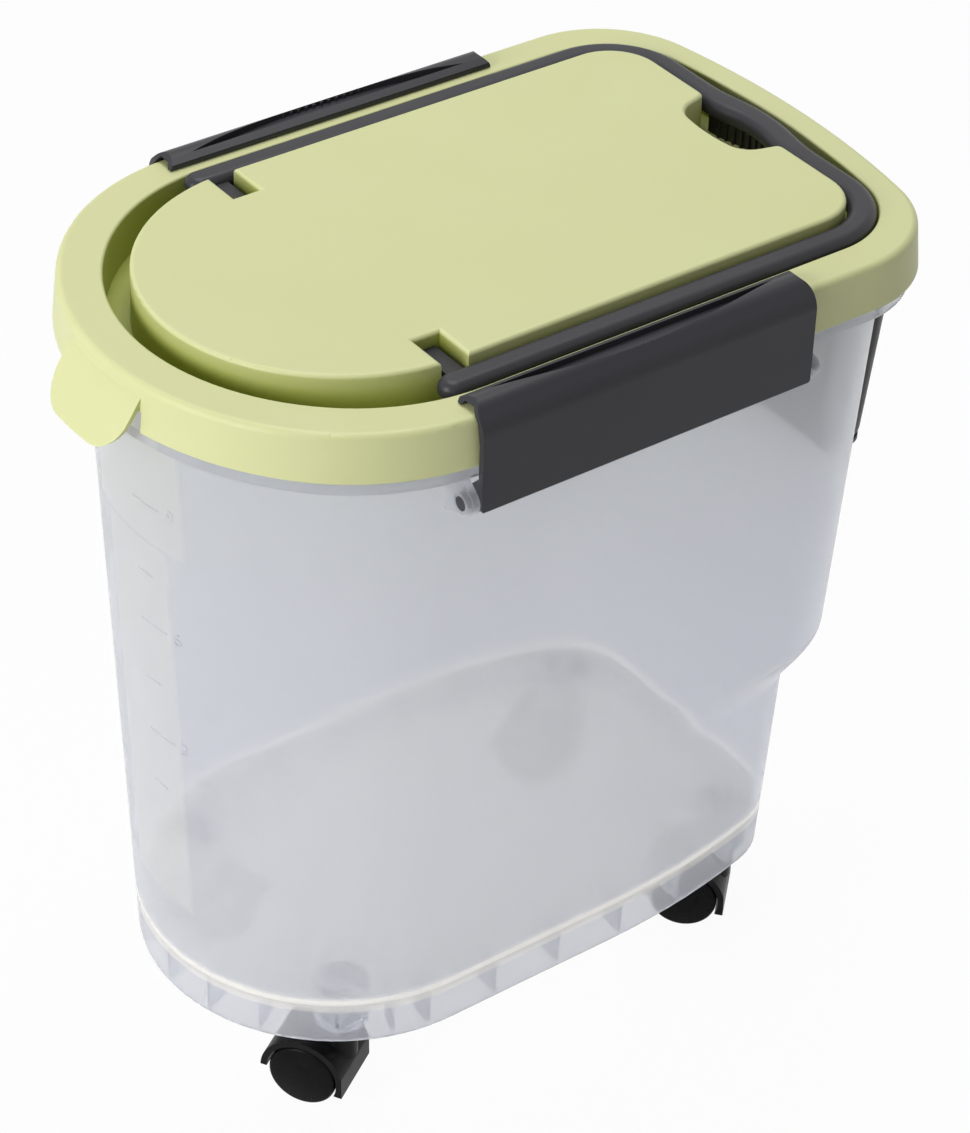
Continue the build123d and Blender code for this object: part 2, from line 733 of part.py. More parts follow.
# Left latch: a plate over the skirt and a roof over the lid's ring, on two hinge pins
latch_start = latch_centre_x - latch_length / 2
latch_inner_y = latch_face_y - latch_wall
latch_toe = ring_level + latch_roof_gap
with BuildPart() as latch_left:
    with BuildSketch(Plane.YZ.offset(latch_start)) as section:
        with BuildLine():
            Polyline(
                (-latch_face_y, latch_bottom),
                (-latch_face_y, latch_shoulder),
                (-latch_crest_y, latch_crest),
                (-trough_inner_y, latch_ridge),
                (-latch_toe_y, latch_toe + latch_toe_thickness),
                (-latch_toe_y, latch_toe),
                (-latch_roof_y, latch_toe),
                (-latch_bend_y, latch_bend_level),
                (-latch_inner_y, latch_plate_top),
                (-latch_inner_y, latch_bottom),
                close=True,
            )
        make_face()
        shoulder = section.vertices().sort_by_distance((-latch_face_y, latch_shoulder))[0]
        fillet(shoulder, latch_shoulder_radius)
        fillet(section.vertices().sort_by(Axis.Y)[-1], latch_crest_radius)
    extrude(amount=latch_length)
    # Round top corners, seen from the side
    with BuildSketch(Plane.XZ.offset(latch_toe_y - overrun)) as face:
        with Locations((latch_centre_x, (latch_bottom + latch_crest) / 2)):
            Rectangle(latch_length, latch_crest - latch_bottom)
        fillet(face.vertices().group_by(Axis.Y)[-1], latch_end_radius)
        fillet(face.vertices().group_by(Axis.Y)[0], latch_foot_radius)
    extrude(amount=latch_face_y - latch_toe_y + 2 * overrun, mode=Mode.INTERSECT)
    # Finger trough along the roof: straight inside, bowed outside, with ticks on its bowed wall
    half_trough = trough_length / 2
    with BuildSketch(Plane.XY.offset(latch_crest)):
        with BuildLine():
            ThreePointArc(
                (latch_centre_x - half_trough, -trough_inner_y),
                (latch_centre_x, -trough_inner_y - trough_bow),
                (latch_centre_x + half_trough, -trough_inner_y),
            )
            Line(
                (latch_centre_x + half_trough, -trough_inner_y),
                (latch_centre_x - half_trough, -trough_inner_y),
            )
        make_face()
    extrude(amount=trough_level - latch_crest, mode=Mode.SUBTRACT)
    with BuildSketch(Plane.XY.offset(trough_level)):
        with Locations((latch_centre_x, -trough_inner_y - trough_bow + tick_depth / 2)):
            with GridLocations(tick_pitch, 1, tick_count, 1):
                Rectangle(tick_width, 2 * tick_depth)
    extrude(amount=tick_height)
    # Hollow under each end of the roof
    for end in (-1, 1):
        with BuildSketch(Plane.YZ.offset(latch_centre_x + end * latch_length / 2)):
            with BuildLine():
                Polyline(
                    (-latch_toe_y - latch_toe_thickness, latch_toe),
                    (-trough_inner_y, latch_toe + latch_toe_thickness),
                    (-latch_crest_y, latch_crest - latch_wall),
                    (-latch_bend_y, latch_bend_level),
                    (-latch_roof_y, latch_toe),
                    close=True,
                )
            make_face()
        extrude(amount=-end * latch_hollow, mode=Mode.SUBTRACT)
        # Hinge lug inside the plate, with its pin
        with BuildSketch(Plane.YZ.offset(latch_centre_x + end * latch_length / 2)):
            with Locations((-hinge_y, hinge_level)):
                Circle(lug_radius)
            with BuildLine():
                Polyline(
                    (-latch_inner_y - latch_wall / 2, latch_bottom + latch_foot_radius),
                    (-latch_inner_y - latch_wall / 2, hinge_level + 2 * lug_radius),
                    (-latch_inner_y, hinge_level + 2 * lug_radius),
                    close=True,
                )
            make_face()
            make_hull()
        extrude(amount=-end * lug_thickness)
        with BuildSketch(Plane.YZ.offset(latch_centre_x + end * (latch_length / 2 - overrun))):
            with Locations((-hinge_y, hinge_level)):
                Circle(hinge_pin_radius)
        extrude(amount=end * (pin_end_x - latch_length / 2 + overrun))
latch_left.part.label = "latch_left"
export_step(latch_left.part, "parts/latch_left.step")

with BuildPart() as latch_right:
    mirror(latch_left.part, about=Plane.XZ)
latch_right.part.label = "latch_right"
export_step(latch_right.part, "parts/latch_right.step")

def ray(radius, angle):
    return radius * math.cos(math.radians(angle)), radius * math.sin(math.radians(angle))


# Casters: stem, hooded fork, axle and two wheels each, turned as each one came to rest
for place, (spot_x, spot_y) in caster_spots.items():
    yaw = math.radians(caster_yaws[place])
    trail_way = Vector(-math.sin(yaw), math.cos(yaw), 0)
    axle_way = Vector(math.cos(yaw), math.sin(yaw), 0)
    spot = Vector(spot_x, spot_y, 0)
    hub = spot + trail_way * caster_trail + Vector(0, 0, wheel_radius)
    wheel_plane = Plane(origin=hub, x_dir=trail_way, z_dir=trail_way.cross(Vector(0, 0, 1)))
    stem_foot = Plane(origin=spot + Vector(0, 0, stem_bottom))

    with BuildPart() as stem:
        with BuildSketch(stem_foot):
            Circle(stem_radius)
        extrude(amount=stem_top - stem_bottom)
        chamfer(stem.edges().sort_by(Axis.Z)[-1], stem_chamfer)
        with BuildSketch(stem_foot.offset(neck_level + seat_gap - stem_bottom)):
            Circle(collar_radius)
        extrude(amount=collar_thickness)
    stem.part.label = place + "_stem"
    export_step(stem.part, "parts/" + place + "_stem.step")

    with BuildPart() as fork:
        # Hood's side profile: a band over the wheels, a pointed tail and a web for the axle
        with BuildSketch(wheel_plane):
            with BuildLine():
                front = ray(hood_outer_radius, hood_front_angle)
                back = ray(hood_outer_radius, hood_back_angle)
                front_inner = ray(hood_inner_radius, hood_front_angle)
                CenterArc((0, 0), hood_outer_radius, hood_front_angle, hood_back_angle - hood_front_angle)
                Polyline(
                    back,
                    (-tail_reach, -tail_drop),
                    (-tail_reach + tail_width, -tail_drop),
                    (0, -2 * axle_radius - wheel_side_gap),
                    front_inner,
                    front,
                )
            make_face()
        extrude(amount=hood_half_width, both=True)
        with BuildSketch(stem_foot.offset(wheel_radius + neck_radius - stem_bottom)):
            Circle(neck_radius)
        extrude(amount=neck_level - wheel_radius - neck_radius)
        # Wheel pockets on both sides of the web
        for side in (-1, 1):
            with BuildSketch(wheel_plane.offset(side * fork_web / 2)):
                Circle(hood_inner_radius)
            extrude(amount=side * hood_half_width, mode=Mode.SUBTRACT)
        with BuildSketch(wheel_plane.offset(-fork_web)):
            Circle(axle_radius + running_gap)
        extrude(amount=2 * fork_web, mode=Mode.SUBTRACT)
        with BuildSketch(stem_foot.offset(-seat_gap)):
            Circle(stem_radius + running_gap)
        extrude(amount=neck_level, mode=Mode.SUBTRACT)
    fork.part.label = place + "_fork"
    export_step(fork.part, "parts/" + place + "_fork.step")

    with BuildPart() as axle:
        with BuildSketch(wheel_plane):
            Circle(axle_radius)
        extrude(amount=wheel_inner + wheel_bore_depth - seat_gap, both=True)
    axle.part.label = place + "_axle"
    export_step(axle.part, "parts/" + place + "_axle.step")

    # Wheel's half section, turned about the axle: flat inside, domed outside, blind bore
    for side, wheel_name in ((-1, "outer"), (1, "inner")):
        across = Plane(origin=hub, x_dir=trail_way, z_dir=Vector(0, 0, -side))
        with BuildPart() as wheel:
            with BuildSketch(across) as half:
                bore = axle_radius + running_gap
                shoulder = wheel_inner + wheel_width
                with BuildLine():
                    Polyline(
                        (0, shoulder + wheel_dome),
                        (0, wheel_inner + wheel_bore_depth),
                        (bore, wheel_inner + wheel_bore_depth),
                        (bore, wheel_inner),
                        (wheel_radius, wheel_inner),
                        (wheel_radius, shoulder),
                    )
                    dome_radius = (wheel_radius**2 + wheel_dome**2) / (2 * wheel_dome)
                    mid_x = wheel_radius / 2
                    mid_y = shoulder + wheel_dome - dome_radius
                    mid_y += math.sqrt(dome_radius**2 - mid_x**2)
                    ThreePointArc(
                        (wheel_radius, shoulder), (mid_x, mid_y), (0, shoulder + wheel_dome)
                    )
                make_face()
            revolve(axis=Axis(hub, axle_way), revolution_arc=360)
            rims = wheel.edges().filter_by(GeomType.CIRCLE).sort_by(SortBy.LENGTH)[-2:]
            fillet(rims, wheel_tread_radius)
        wheel.part.label = place + "_wheel_" + wheel_name
        export_step(wheel.part, "parts/" + place + "_wheel_" + wheel_name + ".step")

# Measuring scoop: a flat-backed cup with a strap that hangs on the tub's hook
scoop_depth = scoop_face_x - scoop_back_x
slot_top = hook_top + seat_gap
with BuildPart() as scoop:
    cup_sections = []
    for level, half in ((scoop_bottom, scoop_foot_half_width), (scoop_rim, scoop_half_width)):
        with BuildSketch(Plane.XY.offset(level)) as cup_plan:
            with Locations((scoop_back_x + scoop_depth / 2, 0)):
                Rectangle(scoop_depth, 2 * half)
            fillet(cup_plan.vertices().group_by(Axis.X)[-1], scoop_corner)
        cup_sections.append(cup_plan.sketch)
    loft(cup_sections, ruled=True)
    fillet(scoop.faces().sort_by(Axis.Z)[0].edges(), scoop_foot_radius)
    offset(amount=-scoop_wall, openings=scoop.faces().sort_by(Axis.Z)[-1])
    # Strap with the slot that takes the hook
    with BuildSketch(Plane.YZ.offset(scoop_back_x)) as strap:
        strap_length = strap_top - scoop_rim + 2 * scoop_wall
        with Locations((0, strap_top - strap_length / 2)):
            Rectangle(2 * strap_half_width, strap_length)
        fillet(strap.vertices().group_by(Axis.Y)[-1], strap_corner)
        slot_height = hook_thickness + slot_travel + seat_gap
        with Locations((0, slot_top - slot_height / 2)):
            Rectangle(2 * slot_half_width, slot_height, mode=Mode.SUBTRACT)
    extrude(amount=strap_thickness)
scoop.part.label = "scoop"
export_step(scoop.part, "parts/scoop.step")
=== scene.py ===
import json
import math

import bmesh
import bpy
from mathutils import Matrix, Vector

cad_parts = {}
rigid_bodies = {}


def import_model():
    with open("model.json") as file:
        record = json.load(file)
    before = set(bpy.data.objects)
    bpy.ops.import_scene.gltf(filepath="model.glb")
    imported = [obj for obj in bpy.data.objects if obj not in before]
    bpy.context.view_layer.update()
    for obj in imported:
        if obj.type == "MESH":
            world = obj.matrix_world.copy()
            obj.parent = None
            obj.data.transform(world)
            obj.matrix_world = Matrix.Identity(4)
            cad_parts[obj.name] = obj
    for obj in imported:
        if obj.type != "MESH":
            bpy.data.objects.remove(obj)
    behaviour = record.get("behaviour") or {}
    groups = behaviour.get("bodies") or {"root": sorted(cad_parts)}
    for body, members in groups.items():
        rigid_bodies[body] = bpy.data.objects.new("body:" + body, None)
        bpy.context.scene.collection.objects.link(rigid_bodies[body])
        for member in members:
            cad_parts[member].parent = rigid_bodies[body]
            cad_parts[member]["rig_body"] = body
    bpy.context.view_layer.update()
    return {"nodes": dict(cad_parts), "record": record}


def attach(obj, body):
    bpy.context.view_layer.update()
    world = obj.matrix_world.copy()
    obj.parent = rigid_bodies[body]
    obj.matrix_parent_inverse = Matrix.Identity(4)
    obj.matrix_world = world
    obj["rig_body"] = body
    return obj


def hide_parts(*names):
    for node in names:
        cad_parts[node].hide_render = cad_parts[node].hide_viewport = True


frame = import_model()
scene = bpy.context.scene
print("frame loaded:", len(frame["nodes"]), "nodes")


def addNode(tree, kind, **values):
    # makes a shader node; names that match a socket set it, the rest are node settings
    node = tree.nodes.new(kind)
    for name, value in values.items():
        label = name.replace("_", " ")
        if label in node.inputs:
            node.inputs[label].default_value = value
        else:
            setattr(node, name, value)
    return node


def newMaterial(name):
    material = bpy.data.materials.new(name)
    material.use_nodes = True
    tree = material.node_tree
    tree.nodes.clear()
    output = addNode(tree, "ShaderNodeOutputMaterial")
    place = addNode(tree, "ShaderNodeTexCoord")
    return material, tree, output, place.outputs["Object"]


def noise(tree, place, scale, detail=2.0, stretch=None):
    # cloud pattern, scale in lumps per metre
    texture = addNode(tree, "ShaderNodeTexNoise", Scale=scale, Detail=detail)
    if stretch:
        turn = addNode(tree, "ShaderNodeMapping", Scale=stretch)
        tree.links.new(place, turn.inputs["Vector"])
        place = turn.outputs["Vector"]
    tree.links.new(place, texture.inputs["Vector"])
    return texture.outputs["Fac"]


def spread(tree, value, low, high, fromLow=0.3, fromHigh=0.7):
    # stretches a value to a new range; the span left unsaid is where noise mostly lies
    ranged = addNode(tree, "ShaderNodeMapRange")
    for socket, number in zip(("From Min", "From Max", "To Min", "To Max"),
                              (fromLow, fromHigh, low, high)):
        ranged.inputs[socket].default_value = number
    tree.links.new(value, ranged.inputs["Value"])
    return ranged.outputs["Result"]


def twoTone(tree, value, first, second):
    # each tone is a colour or another node's output
    mix = addNode(tree, "ShaderNodeMix", data_type="RGBA")
    for socket, tone in zip((mix.inputs[6], mix.inputs[7]), (first, second)):
        if isinstance(tone, tuple):
            socket.default_value = (*tone, 1)
        else:
            tree.links.new(tone, socket)
    tree.links.new(value, mix.inputs[0])
    return mix.outputs[2]


def mouldedPlastic(name, look):
    # satin injection moulding: spark-eroded grain, faint flow clouds, uneven gloss
    material, tree, output, place = newMaterial(name)
    shader = addNode(tree, "ShaderNodeBsdfPrincipled", IOR=look["ior"])
    shader.inputs["Specular IOR Level"].default_value = look["gloss"]
    shader.inputs["Subsurface Weight"].default_value = look["glow"]
    shader.inputs["Subsurface Scale"].default_value = look["glowDepth"]
    shader.inputs["Subsurface Radius"].default_value = look["glowColour"]
    flow = noise(tree, place, look["flowScale"], look["flowDetail"])
    colour = twoTone(tree, spread(tree, flow, 0, 1), look["colour"], look["cloud"])
    if "paintedShadeReach" in look:
        # painted shade: where ambient occlusion finds grooves and recesses enclosed, their
        # colour is darkened to a deeper olive
        shadeOcclusion = addNode(tree, "ShaderNodeAmbientOcclusion", Distance=look["paintedShadeReach"],
                         samples=look["paintedShadeSamples"], only_local=True)
        paintedShade = spread(tree, shadeOcclusion.outputs["AO"], 1, 0, *look["paintedShadeSpan"])
        colour = twoTone(tree, paintedShade, colour, look["paintedShadeColour"])
    tree.links.new(colour, shader.inputs["Base Color"])
    gloss = noise(tree, place, look["glossScale"], look["glossDetail"])
    tree.links.new(spread(tree, gloss, *look["roughness"]), shader.inputs["Roughness"])
    grain = noise(tree, place, look["grainScale"])
    waves = noise(tree, place, look["waveScale"], look["waveDetail"])
    coarse = addNode(tree, "ShaderNodeBump", Strength=look["waveStrength"],
                     Distance=look["waveDepth"])
    fine = addNode(tree, "ShaderNodeBump", Strength=look["grainStrength"],
                   Distance=look["grainDepth"])
    tree.links.new(waves, coarse.inputs["Height"])
    tree.links.new(grain, fine.inputs["Height"])
    tree.links.new(coarse.outputs["Normal"], fine.inputs["Normal"])
    tree.links.new(fine.outputs["Normal"], shader.inputs["Normal"])
    tree.links.new(shader.outputs["BSDF"], output.inputs["Surface"])
    return material


# what the plastics share, where a finish doesn't say otherwise
plasticBase = {
    "ior": 1.49,
    "gloss": 0.5,
    "glow": 0.0,
    "glowDepth": 0.004,
    "glowColour": (1.0, 1.0, 0.8),
    "flowScale": 14.0,
    "flowDetail": 3.0,
    "glossScale": 40.0,
    "glossDetail": 4.0,
    "grainScale": 2600.0,
    "grainDepth": 0.0002,
    "waveScale": 22.0,
    "waveDetail": 1.0,
    "waveStrength": 0.02,
    "waveDepth": 0.001,
}

finishes = {
    "lidGreen": {
        "colour": (0.705, 0.722, 0.368),
        "cloud": (0.690, 0.708, 0.352),
        "glow": 0.05,
        "roughness": (0.42, 0.52),
        "grainStrength": 0.10,
        "gloss": 0.55,
        # painted shade: occlusion reach, samples, span and the darker olive painted into the
        # lid's recesses
        "paintedShadeReach": 0.03,
        "paintedShadeSamples": 8,
        "paintedShadeSpan": (0.35, 0.85),
        "paintedShadeColour": (0.40, 0.44, 0.085),
    },
    "trimGrey": {
        "colour": (0.038, 0.038, 0.044),
        "cloud": (0.033, 0.033, 0.039),
        "roughness": (0.34, 0.44),
        "grainStrength": 0.22,
        "grainScale": 2200.0,
        "gloss": 0.26,
    },
    "casterBlack": {
        "colour": (0.0070, 0.0070, 0.0075),
        "cloud": (0.0095, 0.0095, 0.0100),
        "roughness": (0.30, 0.44),
        "grainStrength": 0.16,
        "gloss": 0.08,
    },
    "wheelBlack": {
        "colour": (0.0045, 0.0045, 0.0050),
        "cloud": (0.0070, 0.0070, 0.0075),
        "roughness": (0.22, 0.38),
        "glossScale": 160.0,
        "grainStrength": 0.10,
        "flowScale": 90.0,
        "gloss": 0.06,
    },
    "scoopBlack": {
        "colour": (0.0080, 0.0080, 0.0088),
        "cloud": (0.0110, 0.0110, 0.0120),
        "roughness": (0.34, 0.48),
        "grainStrength": 0.20,
        "gloss": 0.20,
    },
    "sealSoft": {
        "colour": (0.74, 0.74, 0.72),
        "cloud": (0.68, 0.68, 0.66),
        "glow": 0.3,
        "roughness": (0.55, 0.70),
        "grainStrength": 0.06,
    },
}

tubLook = {
    "tint": (0.885, 0.896, 0.928),
    "haze": (0.82, 0.83, 0.87),
    "bandHaze": (0.88, 0.88, 0.88),
    # pale milk of the thick corners, also the colour of the painted light on the floor band
    # and along the lines
    "lineMilkAndLightColour": (1.0, 0.98, 0.94),
    "faceShare": 0.26,
    "hazeShare": 0.42,
    "bandShare": 0.52,
    "lineShare": 0.38,
    "roughness": (0.07, 0.11),
    "ior": 1.25,
    "shadowThrough": 0.72,
    "flowScale": 5.0,
    "flowDetail": 3.0,
    "bandEdge": 0.0016,
    "bandBackX": -0.110,
    # half width, lowest and highest level of the band's two parts
    "bandParts": ((0.035, 0.336, 0.424), (0.024, 0.115, 0.336)),
    # the thick corners above the floor and at the flange's edge: low and high level
    "lines": ((0.0766, 0.0802), (0.4088, 0.4112)),
    "lineEdge": 0.0006,
    # strength of the glow painted along those corner lines
    "paintedLineGlow": 0.09,
    # the floor's levels and the pale milky share painted there as light, which brightens the
    # floor
    "floorSpan": (0.0720, 0.0764),
    "paintedFloorLightShare": 0.13,
}


def step(tree, value, threshold, width, falling=False):
    # 0 below the threshold and 1 above it, or the other way round, with a soft edge
    low, high = (1, 0) if falling else (0, 1)
    return spread(tree, value, low, high, threshold - width, threshold + width)


def between(tree, value, low, high, width):
    # 1 between two levels, with soft edges
    return product(tree, step(tree, value, low, width), step(tree, value, high, width, True))


def combine(tree, kind, values):
    # adds, multiplies or takes the largest of several values
    total = values[0]
    for value in values[1:]:
        both = addNode(tree, "ShaderNodeMath", operation=kind)
        tree.links.new(total, both.inputs[0])
        tree.links.new(value, both.inputs[1])
        total = both.outputs[0]
    return total


def product(tree, *values):
    return combine(tree, "MULTIPLY", values)


def larger(tree, *values):
    return combine(tree, "MAXIMUM", values)


def frostedTub(name, look):
    # natural polypropylene: rough see-through wall with a milky share, lighter on shadow rays
    material, tree, output, place = newMaterial(name)
    clear = addNode(tree, "ShaderNodeBsdfPrincipled", IOR=look["ior"])
    clear.inputs["Transmission Weight"].default_value = 1.0
    clear.inputs["Base Color"].default_value = (*look["tint"], 1)
    rough = spread(tree, noise(tree, place, look["flowScale"], look["flowDetail"]),
                   *look["roughness"])
    tree.links.new(rough, clear.inputs["Roughness"])
    # the milkier band down the nose that carries the filling scale
    apart = addNode(tree, "ShaderNodeSeparateXYZ")
    tree.links.new(place, apart.inputs[0])
    side = addNode(tree, "ShaderNodeMath", operation="ABSOLUTE")
    tree.links.new(apart.outputs["Y"], side.inputs[0])
    edge = look["bandEdge"]
    level = apart.outputs["Z"]
    ahead = step(tree, apart.outputs["X"], look["bandBackX"], edge, True)
    band = larger(tree, *(
        product(tree, step(tree, side.outputs[0], halfWidth, edge, True), ahead,
                between(tree, level, low, high, edge))
        for halfWidth, low, high in look["bandParts"]))
    # walls are milkier and paler along their thick corners; the same lines carry a painted
    # glow further down
    line = larger(tree, *(between(tree, level, low, high, look["lineEdge"])
                          for low, high in look["lines"]))
    # painted light: the floor band is made paler and milkier so it looks as bright as the
    # walls
    paintedFloorLight = between(tree, level, *look["floorSpan"], look["lineEdge"])
    haze = twoTone(tree, band, look["haze"], look["bandHaze"])
    haze = twoTone(tree, larger(tree, line, paintedFloorLight), haze, look["lineMilkAndLightColour"])
    milk = addNode(tree, "ShaderNodeBsdfTranslucent")
    face = addNode(tree, "ShaderNodeBsdfDiffuse")
    tree.links.new(haze, milk.inputs["Color"])
    tree.links.new(haze, face.inputs["Color"])
    milky = addNode(tree, "ShaderNodeMixShader", Fac=look["faceShare"])
    tree.links.new(milk.outputs[0], milky.inputs[1])
    tree.links.new(face.outputs[0], milky.inputs[2])
    body = addNode(tree, "ShaderNodeMixShader")
    share = combine(tree, "ADD", (
        spread(tree, band, look["hazeShare"], look["bandShare"], 0, 1),
        spread(tree, line, 0, look["lineShare"], 0, 1),
        spread(tree, paintedFloorLight, 0, look["paintedFloorLightShare"], 0, 1)))
    tree.links.new(share, body.inputs[0])
    tree.links.new(clear.outputs[0], body.inputs[1])
    tree.links.new(milky.outputs[0], body.inputs[2])
    # painted light: the corner lines glow faintly, so they read as bright edges
    paintedLineLight = addNode(tree, "ShaderNodeEmission", Color=(*look["lineMilkAndLightColour"], 1))
    tree.links.new(spread(tree, line, 0, look["paintedLineGlow"], 0, 1), paintedLineLight.inputs["Strength"])
    edged = addNode(tree, "ShaderNodeAddShader")
    tree.links.new(body.outputs[0], edged.inputs[0])
    tree.links.new(paintedLineLight.outputs[0], edged.inputs[1])
    rays = addNode(tree, "ShaderNodeLightPath")
    through = addNode(tree, "ShaderNodeBsdfTransparent", Color=(*look["tint"], 1))
    lit = addNode(tree, "ShaderNodeMath", operation="MULTIPLY")
    lit.inputs[1].default_value = look["shadowThrough"]
    tree.links.new(rays.outputs["Is Shadow Ray"], lit.inputs[0])
    whole = addNode(tree, "ShaderNodeMixShader")
    tree.links.new(lit.outputs[0], whole.inputs[0])
    tree.links.new(edged.outputs[0], whole.inputs[1])
    tree.links.new(through.outputs[0], whole.inputs[2])
    tree.links.new(whole.outputs[0], output.inputs["Surface"])
    return material


steelLook = {
    "colour": (0.56, 0.56, 0.57),
    "roughness": (0.22, 0.36),
    "ringScale": 900.0,
    "ringDetail": 3.0,
    "ringStretch": (0.2, 0.2, 3.0),
    "ringStrength": 0.15,
    "ringDepth": 0.0001,
}


def turnedSteel(name, look):
    # the axles: fine uneven streaks left by turning
    material, tree, output, place = newMaterial(name)
    shader = addNode(tree, "ShaderNodeBsdfPrincipled", Metallic=1.0)
    shader.inputs["Base Color"].default_value = (*look["colour"], 1)
    rings = noise(tree, place, look["ringScale"], look["ringDetail"], look["ringStretch"])
    tree.links.new(spread(tree, rings, *look["roughness"]), shader.inputs["Roughness"])
    bump = addNode(tree, "ShaderNodeBump", Strength=look["ringStrength"],
                   Distance=look["ringDepth"])
    tree.links.new(rings, bump.inputs["Height"])
    tree.links.new(bump.outputs["Normal"], shader.inputs["Normal"])
    tree.links.new(shader.outputs["BSDF"], output.inputs["Surface"])
    return material


materials = {name: mouldedPlastic(name, {**plasticBase, **own})
             for name, own in finishes.items()}
materials["tubClear"] = frostedTub("tubClear", tubLook)
materials["steel"] = turnedSteel("steel", steelLook)
slotFinish = {
    "tub_clear": "tubClear",
    "lid_green": "lidGreen",
    "seal_soft": "sealSoft",
    "trim_grey": "trimGrey",
    "caster_black": "casterBlack",
    "wheel_black": "wheelBlack",
    "steel": "steel",
    "scoop_black": "scoopBlack",
}
print("finishes made:", len(materials))

copyLook = {"weld": 0.000002, "creaseAngle": math.radians(24)}
slotOf = {part["node"]: part["material_slot"] for part in frame["record"]["subparts"]}


def smoothCopy(nodeName, look):
    # a merged copy whose round faces shade smoothly and whose flat faces stay flat
    source = frame["nodes"][nodeName]
    mesh = source.data.copy()
    mesh.name = nodeName + "_skin"
    shape = bmesh.new()
    shape.from_mesh(mesh)
    bmesh.ops.remove_doubles(shape, verts=shape.verts, dist=look["weld"])
    for face in shape.faces:
        face.smooth = True
    for edge in shape.edges:
        edge.smooth = edge.calc_face_angle(math.pi) < look["creaseAngle"]
    shape.to_mesh(mesh)
    shape.free()
    piece = bpy.data.objects.new(nodeName + "_skin", mesh)
    scene.collection.objects.link(piece)
    mesh.materials.clear()
    mesh.materials.append(materials[slotFinish[slotOf[nodeName]]])
    even = piece.modifiers.new("even", "WEIGHTED_NORMAL")
    even.keep_sharp = True
    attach(piece, source["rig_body"])
    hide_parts(nodeName)
    return piece


skins = {name: smoothCopy(name, copyLook) for name in sorted(frame["nodes"])}
print("smooth copies:", len(skins))

# the tub's nose, as in the CAD: a cone that widens upwards
noseShape = {
    "centreX": -0.0733,
    "baseLevel": 0.052,
    "baseRadius": 0.1016,
    "slope": math.tan(math.radians(2.233)),
}
scaleMarks = {
    "longLevels": (0.3578, 0.2873, 0.2203),
    "shortLevels": (0.3166, 0.2527, 0.1883),
    "numerals": ("9", "6", "3"),
    # degrees from the nose's tip towards the left side
    "firstAngle": 1.5,
    "longAngle": 11.0,
    "shortAngle": 7.0,
    "numeralAngle": 13.0,
    "lineHeight": 0.0009,
    "lineCuts": 7,
    "relief": 0.00035,
    "numeralSize": 0.011,
    # before it is wrapped on the nose, where only the side of zero counts
    "draftDepth": 0.0005,
    "weld": 0.000001,
}


def noseRadius(level):
    return noseShape["baseRadius"] + (level - noseShape["baseLevel"]) * noseShape["slope"]


def onNose(angle, level, lift):
    # a point on the tub's nose: angle in radians from the tip towards the left side
    reach = noseRadius(level) + lift
    return Vector((noseShape["centreX"] - reach * math.cos(angle),
                   -reach * math.sin(angle), level))


def wrapOnNose(shape, startAngle, level, relief):
    # x becomes the angle, y the height and z the relief
    radius = noseRadius(level)
    for vert in shape.verts:
        angle = startAngle + vert.co.x / radius
        lift = relief if vert.co.z > 0 else -relief
        vert.co = onNose(angle, level + vert.co.y, lift)


def finishScalePiece(name, shape):
    bmesh.ops.recalc_face_normals(shape, faces=shape.faces)
    mesh = bpy.data.meshes.new(name)
    shape.to_mesh(mesh)
    shape.free()
    mesh.materials.append(materials["tubClear"])
    piece = bpy.data.objects.new(name, mesh)
    scene.collection.objects.link(piece)
    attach(piece, "tub")
    return piece


def scaleLine(name, level, endAngle, look):
    # a thin raised line, cut along its length so that it follows the nose
    first, last = math.radians(look["firstAngle"]), math.radians(endAngle)
    length = (last - first) * noseRadius(level)
    shape = bmesh.new()
    bmesh.ops.create_cube(shape, size=1)
    bmesh.ops.scale(shape, vec=(length, look["lineHeight"], 2 * look["draftDepth"]),
                    verts=shape.verts)
    bmesh.ops.translate(shape, vec=(length / 2, 0, 0), verts=shape.verts)
    along = [e for e in shape.edges if abs(e.verts[0].co.x - e.verts[1].co.x) > length / 2]
    bmesh.ops.subdivide_edges(shape, edges=along, cuts=look["lineCuts"], use_grid_fill=True)
    wrapOnNose(shape, first, level, look["relief"])
    return finishScalePiece(name, shape)


def scaleNumeral(name, digit, level, look):
    # a raised digit beside a long line
    curve = bpy.data.curves.new(name, "FONT")
    curve.body = digit
    curve.size = look["numeralSize"]
    curve.extrude = look["draftDepth"]
    curve.align_y = "CENTER"
    written = bpy.data.objects.new(name + "_draft", curve)
    scene.collection.objects.link(written)
    bpy.context.view_layer.update()
    drawn = bpy.data.meshes.new_from_object(written.evaluated_get(
        bpy.context.evaluated_depsgraph_get()))
    bpy.data.objects.remove(written)
    shape = bmesh.new()
    shape.from_mesh(drawn)
    bmesh.ops.remove_doubles(shape, verts=shape.verts, dist=look["weld"])
    wrapOnNose(shape, math.radians(look["numeralAngle"]), level, look["relief"])
    return finishScalePiece(name, shape)


for number, level in enumerate(scaleMarks["longLevels"]):
    scaleLine("scale_long_" + str(number), level, scaleMarks["longAngle"], scaleMarks)
    scaleNumeral("scale_number_" + str(number), scaleMarks["numerals"][number], level,
                 scaleMarks)
for number, level in enumerate(scaleMarks["shortLevels"]):
    scaleLine("scale_short_" + str(number), level, scaleMarks["shortAngle"], scaleMarks)
print("filling scale made")

studio = {
    "floorSize": 60.0,
    "floorColour": (0.86, 0.86, 0.87),
    "whiteShare": 0.95,
    "worldColour": (0.95, 0.97, 1.0),
    "worldStrength": 0.24,
    "lamps": {
        # place, aim, size, power
        "softLeft": ((-2.3, -0.2, 1.1), (0, 0, 0.25), 1.3, 37.0),
        "softTop": ((0.3, 0.5, 2.2), (0, 0, 0.3), 1.3, 19.0),
    },
}


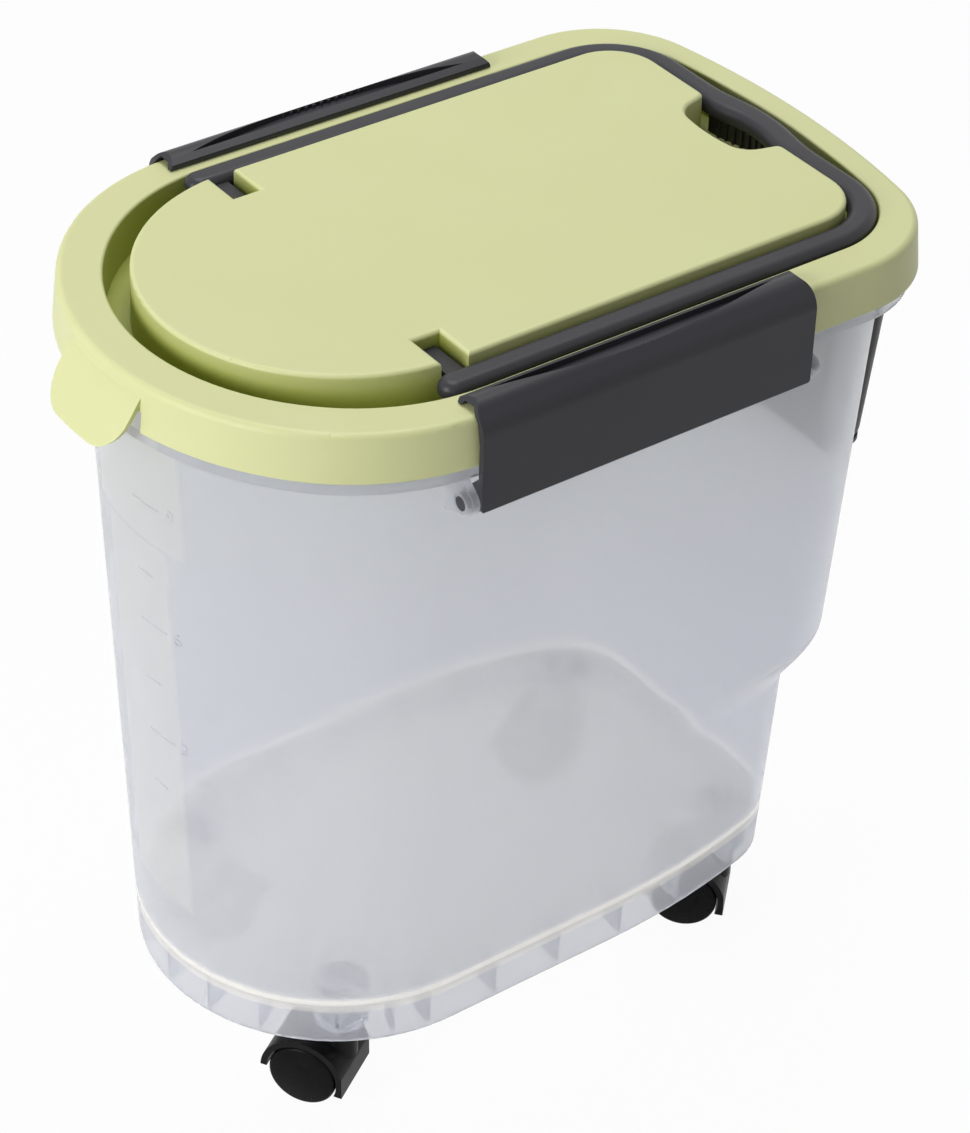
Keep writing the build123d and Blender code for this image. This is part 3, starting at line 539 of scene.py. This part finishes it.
def pathShare(tree, whiteShare):
    # 1 where the camera, a reflection or a see-through wall looks, times whiteShare
    rays = addNode(tree, "ShaderNodeLightPath").outputs
    total = larger(tree, rays["Is Camera Ray"], rays["Is Glossy Ray"],
                   rays["Is Transmission Ray"])
    share = addNode(tree, "ShaderNodeMath", operation="MULTIPLY")
    share.inputs[1].default_value = whiteShare
    tree.links.new(total, share.inputs[0])
    return share.outputs[0]


def makeFloor(look):
    # pale ground that keeps a little of the object's shadow
    material, tree, output, place = newMaterial("paleFloor")
    soft = addNode(tree, "ShaderNodeBsdfDiffuse", Color=(*look["floorColour"], 1))
    white = addNode(tree, "ShaderNodeEmission", Strength=1.0)
    mix = addNode(tree, "ShaderNodeMixShader")
    tree.links.new(pathShare(tree, look["whiteShare"]), mix.inputs[0])
    tree.links.new(soft.outputs[0], mix.inputs[1])
    tree.links.new(white.outputs[0], mix.inputs[2])
    tree.links.new(mix.outputs[0], output.inputs["Surface"])
    mesh = bpy.data.meshes.new("floor")
    shape = bmesh.new()
    bmesh.ops.create_grid(shape, x_segments=1, y_segments=1, size=look["floorSize"] / 2)
    shape.to_mesh(mesh)
    shape.free()
    mesh.materials.append(material)
    floor = bpy.data.objects.new("floor", mesh)
    scene.collection.objects.link(floor)


def makeWorld(look):
    world = bpy.data.worlds.new("studio")
    scene.world = world
    world.use_nodes = True
    tree = world.node_tree
    tree.nodes.clear()
    output = addNode(tree, "ShaderNodeOutputWorld")
    light = addNode(tree, "ShaderNodeBackground", Color=(*look["worldColour"], 1),
                    Strength=look["worldStrength"])
    white = addNode(tree, "ShaderNodeBackground", Strength=1.0)
    white.inputs["Color"].default_value = (1, 1, 1, 1)
    mix = addNode(tree, "ShaderNodeMixShader")
    tree.links.new(pathShare(tree, 1.0), mix.inputs[0])
    tree.links.new(light.outputs[0], mix.inputs[1])
    tree.links.new(white.outputs[0], mix.inputs[2])
    tree.links.new(mix.outputs[0], output.inputs["Surface"])


def makeLamps(look):
    for name, (place, aim, size, power) in look["lamps"].items():
        lamp = bpy.data.lights.new(name, "AREA")
        lamp.shape = "DISK"
        lamp.size = size
        lamp.energy = power
        body = bpy.data.objects.new(name, lamp)
        body.location = place
        away = Vector(aim) - Vector(place)
        body.rotation_euler = away.to_track_quat("-Z", "Y").to_euler()
        scene.collection.objects.link(body)


cameraView = {
    # degrees: turned from +Y towards +X, tilted down, and rolled
    "heading": 37.76,
    "dip": 36.84,
    "roll": 2.34,
    "distance": 1.77002,
    "target": (0.01552, -0.02397, 0.24027),
    "lens": 133.57,
    "sensor": 36.0,
    "shift": (-0.0309, 0.0098),
    "farthest": 30,
}


def makeCamera(look):
    heading, dip, roll = (math.radians(look[key]) for key in ("heading", "dip", "roll"))
    ahead = Vector((math.cos(dip) * math.sin(heading), math.cos(dip) * math.cos(heading),
                    -math.sin(dip)))
    level = Vector((math.cos(heading), -math.sin(heading), 0))
    above = level.cross(ahead)
    right = level * math.cos(roll) + above * math.sin(roll)
    up = above * math.cos(roll) - level * math.sin(roll)
    lens = bpy.data.cameras.new("camera")
    lens.sensor_fit = "HORIZONTAL"
    lens.sensor_width = look["sensor"]
    lens.lens = look["lens"]
    lens.shift_x, lens.shift_y = look["shift"]
    lens.clip_end = look["farthest"]
    camera = bpy.data.objects.new("camera", lens)
    turn = Matrix((right, up, -ahead)).transposed().to_4x4()
    turn.translation = Vector(look["target"]) - ahead * look["distance"]
    camera.matrix_world = turn
    scene.collection.objects.link(camera)
    scene.camera = camera


makeFloor(studio)
makeWorld(studio)
makeLamps(studio)
makeCamera(cameraView)
scene.view_settings.view_transform = "Standard"
print("studio ready")
